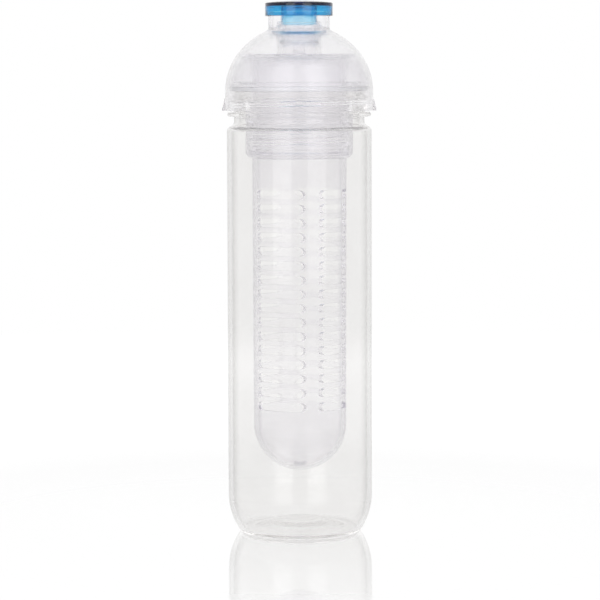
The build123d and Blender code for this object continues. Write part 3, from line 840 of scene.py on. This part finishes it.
# Floor, backdrop light and lamps
studio = {
    "floorSize": 8.0, "floorDrop": 0.00005, "white": 0.69, "whiteFar": 1.0,
    "whiteFrom": 0.22, "whiteTo": 0.72, "matt": 0.35, "mattFar": 0.0, "mattFrom": 0.30, "mattTo": 0.95,
    "mirror": 0.86, "mirrorFar": 0.0, "fadeFrom": 0.03, "fadeTo": 0.36,
    "footFrom": 0.0205, "footTo": 0.026, "glanceFrom": 0.76, "glanceTo": 0.81, "gloss": 0.05,
    "ambient": 0.62,
    "ceiling": 0.90, "ceilingFrom": 0.20, "ceilingTo": 0.60,
}
lamp = {"distance": 1.5, "width": 0.86, "height": 2.2, "lift": 0.55, "radiance": 2.0, "aim": 0.12}
lampAngles = {"leftPanel": -27.5, "rightPanel": 27.5}
camera = {
    "distance": 1.213, "height": 0.2075, "down": 4.85, "roll": 0.16, "focalPixels": 2700, "picture": 600,
    "sideways": 0.0004, "sensor": 36.0, "nearest": 0.05,
}


def buildFloor():
    bm = bmesh.new()
    bmesh.ops.create_grid(bm, x_segments=2, y_segments=2, size=studio["floorSize"] / 2)
    bmesh.ops.translate(bm, verts=bm.verts, vec=(0, 0, -studio["floorDrop"]))
    floor = finishMesh(bm, "floor")
    material, nodes, links = newMaterial("floorGloss")
    white = nodes.new("ShaderNodeEmission")
    matt = nodes.new("ShaderNodeBsdfDiffuse")
    lit = nodes.new("ShaderNodeAddShader")
    mirror = nodes.new("ShaderNodeBsdfGlossy")
    mirror.inputs["Roughness"].default_value = studio["gloss"]
    mirror.inputs["Color"].default_value = (1, 1, 1, 1)
    mix = nodes.new("ShaderNodeMixShader")
    spot = nodes.new("ShaderNodeTexCoord")
    length = nodes.new("ShaderNodeVectorMath")
    length.operation = "LENGTH"
    links.new(spot.outputs["Object"], length.inputs[0])
    away = length.outputs["Value"]
    fade = ranged(
        nodes, links, away, studio["mirror"], studio["mirrorFar"], studio["fadeFrom"], studio["fadeTo"]
    )
    glow = ranged(
        nodes, links, away, studio["white"], studio["whiteFar"], studio["whiteFrom"], studio["whiteTo"]
    )
    links.new(glow, white.inputs["Strength"])
    # far from the object the floor glows by itself, so that the lamps don't burn it out
    grey = ranged(nodes, links, away, studio["matt"], studio["mattFar"], studio["mattFrom"], studio["mattTo"])
    links.new(grey, matt.inputs["Color"])
    # under the foot the floor is matt, so that the base stays light
    foot = ranged(nodes, links, away, 0, 1, studio["footFrom"], studio["footTo"])
    share = maths(nodes, links, "MULTIPLY", fade, foot)
    # the gloss shows at a glancing view only, so that it doesn't mirror the lamps from above
    facing = nodes.new("ShaderNodeLayerWeight")
    glance = ranged(nodes, links, facing.outputs["Facing"], 0, 1, studio["glanceFrom"], studio["glanceTo"])
    links.new(maths(nodes, links, "MULTIPLY", share, glance), mix.inputs["Fac"])
    links.new(white.outputs["Emission"], lit.inputs[0])
    links.new(matt.outputs["BSDF"], lit.inputs[1])
    links.new(lit.outputs["Shader"], mix.inputs[1])
    links.new(mirror.outputs["BSDF"], mix.inputs[2])
    output = nodes.new("ShaderNodeOutputMaterial")
    links.new(mix.outputs["Shader"], output.inputs["Surface"])
    floor.data.materials.append(material)


def buildWorld():
    world = bpy.data.worlds.new("whiteRoom")
    world.use_nodes = True
    nodes, links = world.node_tree.nodes, world.node_tree.links
    nodes.clear()
    path = nodes.new("ShaderNodeLightPath")
    seen = maths(nodes, links, "MAXIMUM", path.outputs["Is Camera Ray"], path.outputs["Is Glossy Ray"])
    also = maths(nodes, links, "MAXIMUM", seen, path.outputs["Is Transmission Ray"])
    soft = nodes.new("ShaderNodeBackground")
    soft.inputs["Strength"].default_value = studio["ambient"]
    white = nodes.new("ShaderNodeBackground")
    # walls are white, and the ceiling that gloss and clear plastic show is grey
    towards = nodes.new("ShaderNodeTexCoord")
    parts = nodes.new("ShaderNodeSeparateXYZ")
    links.new(towards.outputs["Generated"], parts.inputs["Vector"])
    wall = ranged(
        nodes, links, parts.outputs["Z"], 1.0, studio["ceiling"], studio["ceilingFrom"], studio["ceilingTo"]
    )
    strength = maths(nodes, links, "MAXIMUM", wall, path.outputs["Is Camera Ray"])
    links.new(strength, white.inputs["Strength"])
    mix = nodes.new("ShaderNodeMixShader")
    links.new(also, mix.inputs["Fac"])
    links.new(soft.outputs["Background"], mix.inputs[1])
    links.new(white.outputs["Background"], mix.inputs[2])
    for background in (soft, white):
        background.inputs["Color"].default_value = (1, 1, 1, 1)
    output = nodes.new("ShaderNodeOutputWorld")
    links.new(mix.outputs["Shader"], output.inputs["Surface"])
    bpy.context.scene.world = world


def buildLamps():
    for name, side in lampAngles.items():
        light = bpy.data.lights.new(name, "AREA")
        light.shape = "RECTANGLE"
        light.size, light.size_y = lamp["width"], lamp["height"]
        light.energy = lamp["radiance"] * math.pi * lamp["width"] * lamp["height"]
        panel = bpy.data.objects.new(name, light)
        angle = math.radians(side)
        spot = Vector((math.sin(angle) * lamp["distance"], -math.cos(angle) * lamp["distance"], lamp["lift"]))
        panel.location = spot
        aim = Vector((0, 0, lamp["aim"])) - spot
        panel.rotation_euler = aim.to_track_quat("-Z", "Y").to_euler()
        panel.visible_camera = False
        panel.visible_transmission = False
        bpy.context.collection.objects.link(panel)


def buildCamera():
    data = bpy.data.cameras.new("camera")
    data.sensor_width = camera["sensor"]
    data.lens = data.sensor_width * camera["focalPixels"] / camera["picture"]
    data.clip_start = camera["nearest"]
    eye = bpy.data.objects.new("camera", data)
    eye.location = (camera["sideways"], -camera["distance"], camera["height"])
    eye.rotation_euler = (math.radians(90 - camera["down"]), math.radians(camera["roll"]), 0)
    bpy.context.collection.objects.link(eye)
    bpy.context.scene.camera = eye


buildFloor()
buildWorld()
buildLamps()
buildCamera()

scene = bpy.context.scene
scene.view_settings.view_transform = "Standard"
# a sight line through the lid crosses many clear walls
bounces = {"wall": 32, "clear": 64}
scene.cycles.max_bounces = bounces["wall"]
scene.cycles.transmission_bounces = bounces["wall"]
scene.cycles.glossy_bounces = bounces["wall"]
scene.cycles.transparent_max_bounces = bounces["clear"]
